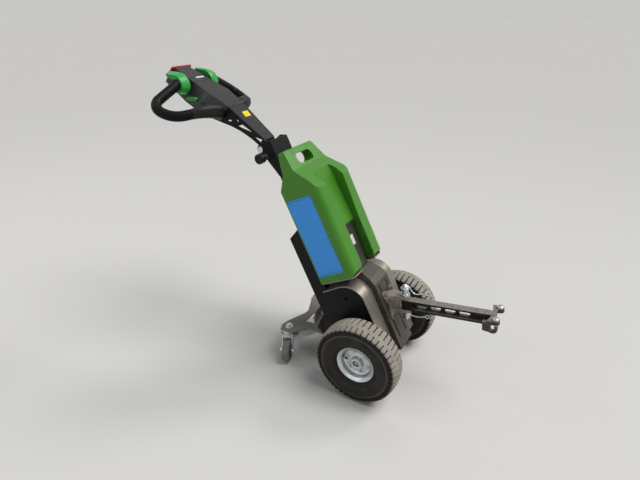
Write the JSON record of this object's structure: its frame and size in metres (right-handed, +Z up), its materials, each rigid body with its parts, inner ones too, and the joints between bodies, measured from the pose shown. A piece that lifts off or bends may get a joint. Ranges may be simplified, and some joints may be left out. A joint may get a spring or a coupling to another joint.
{
  "type": "pedestrian electric tow tractor",
  "caption": "Walk-behind electric tow tractor with a leaning body, lift-off battery pack, loop-handled tiller, driven wheels, castors and a swinging drawbar.",
  "frame": {"origin": "on the floor below the middle of the part's length", "axes": "+X ahead, the way the drawbar points; +Y to the left; +Z up"},
  "size_m": [1.1724, 0.4262, 0.9368],
  "materials": {
    "powder_black": "satin black powder coat, worn",
    "taupe_metallic": "silky metallic taupe paint",
    "column_dark": "dark grey moulded plastic",
    "green_plastic": "bright green moulded plastic",
    "console_grey": "grey-black moulded plastic",
    "grip_black": "soft black grip",
    "red_plastic": "red moulded plastic",
    "tyre_black": "black tyre rubber, dusty",
    "zinc": "bright zinc plated steel",
    "shaft_brass": "stained bright steel, brassy",
    "castor_rubber": "grey non-marking rubber",
    "castor_core": "dark grey plastic wheel body",
    "plate_steel": "grey painted plate",
    "cast_brown": "dark brown cast metal with rust",
    "bolt_steel": "plain steel bolts",
    "gear_grey": "grey cast case",
    "arm_grey": "dark grey painted plate"
  },
  "bodies": {
    "chassis": {"rear_housing": "powder_black", "mast": "powder_black", "side_panel_left": "powder_black", "side_panel_right": "powder_black", "body_cover": "taupe_metallic", "front_plate": "taupe_metallic", "column_cover": "column_dark", "column_cap": "taupe_metallic", "battery_dock": "column_dark", "dock_tray": "taupe_metallic", "battery_pack": "green_plastic", "gear_case": "gear_grey", "drive_motor": "powder_black", "castor_plate": "plate_steel", "castor_pin_left": "zinc", "castor_pin_right": "zinc", "pivot_bolt": "zinc", "clamp_bolt": "zinc", "clamp_knob": "grip_black", "coupling_bracket": "cast_brown", "coupling_bolts": "bolt_steel"},
    "tiller": {"arm_truss": "powder_black", "arm_cover": "arm_grey", "head_base": "grip_black", "head_console": "console_grey", "handle_loop_left": "grip_black", "handle_loop_right": "grip_black", "throttle_collar_left": "green_plastic", "throttle_collar_right": "green_plastic", "belly_switch": "red_plastic", "thumb_button_left": "green_plastic", "thumb_button_right": "green_plastic"},
    "drawbar_arm": {"drawbar": "cast_brown", "end_jaw": "cast_brown", "jaw_bolts": "bolt_steel", "tow_hook": "powder_black", "drawbar_pin": "bolt_steel"},
    "wheel_left": {"drive_tyre_left": "tyre_black", "drive_rim_left": "zinc", "stub_shaft_left": "shaft_brass"},
    "castor_swivel_left": {"castor_fork_left": "zinc"},
    "castor_wheel_left": {"castor_tyre_left": "castor_rubber", "castor_core_left": "castor_core"},
    "wheel_right": {"drive_tyre_right": "tyre_black", "drive_rim_right": "zinc", "stub_shaft_right": "shaft_brass"},
    "castor_swivel_right": {"castor_fork_right": "zinc"},
    "castor_wheel_right": {"castor_tyre_right": "castor_rubber", "castor_core_right": "castor_core"}
  },
  "joints": [
    {"name": "tiller_raise", "type": "hinge", "parent": "chassis", "child": "tiller", "pos_m": [-0.20371, 0, 0.70966], "axis": [0, 1, 0], "range_deg": [-30, 50]},
    {"name": "drawbar_swing", "type": "hinge", "parent": "chassis", "child": "drawbar_arm", "pos_m": [0.29873, 0, 0.2706], "axis": [-0.1357, 0, 0.9907], "range_deg": [-50, 50]},
    {"name": "wheel_left_spin", "type": "hinge", "parent": "chassis", "child": "wheel_left", "pos_m": [0.22073, 0.17, 0.134], "axis": [0, 1, 0], "continuous": true},
    {"name": "castor_left_swivel", "type": "hinge", "parent": "chassis", "child": "castor_swivel_left", "pos_m": [-0.07527, 0.109, 0.098], "axis": [0, 0, 1], "continuous": true},
    {"name": "castor_left_roll", "type": "hinge", "parent": "castor_swivel_left", "child": "castor_wheel_left", "pos_m": [-0.06141, 0.07469, 0.04], "axis": [-0.9272, -0.3746, 0], "continuous": true},
    {"name": "wheel_right_spin", "type": "hinge", "parent": "chassis", "child": "wheel_right", "pos_m": [0.22073, -0.17, 0.134], "axis": [0, 1, 0], "continuous": true},
    {"name": "castor_right_swivel", "type": "hinge", "parent": "chassis", "child": "castor_swivel_right", "pos_m": [-0.07527, -0.109, 0.098], "axis": [0, 0, 1], "continuous": true},
    {"name": "castor_right_roll", "type": "hinge", "parent": "castor_swivel_right", "child": "castor_wheel_right", "pos_m": [-0.06322, -0.14398, 0.04], "axis": [-0.9455, -0.3256, 0], "continuous": true}
  ]
}
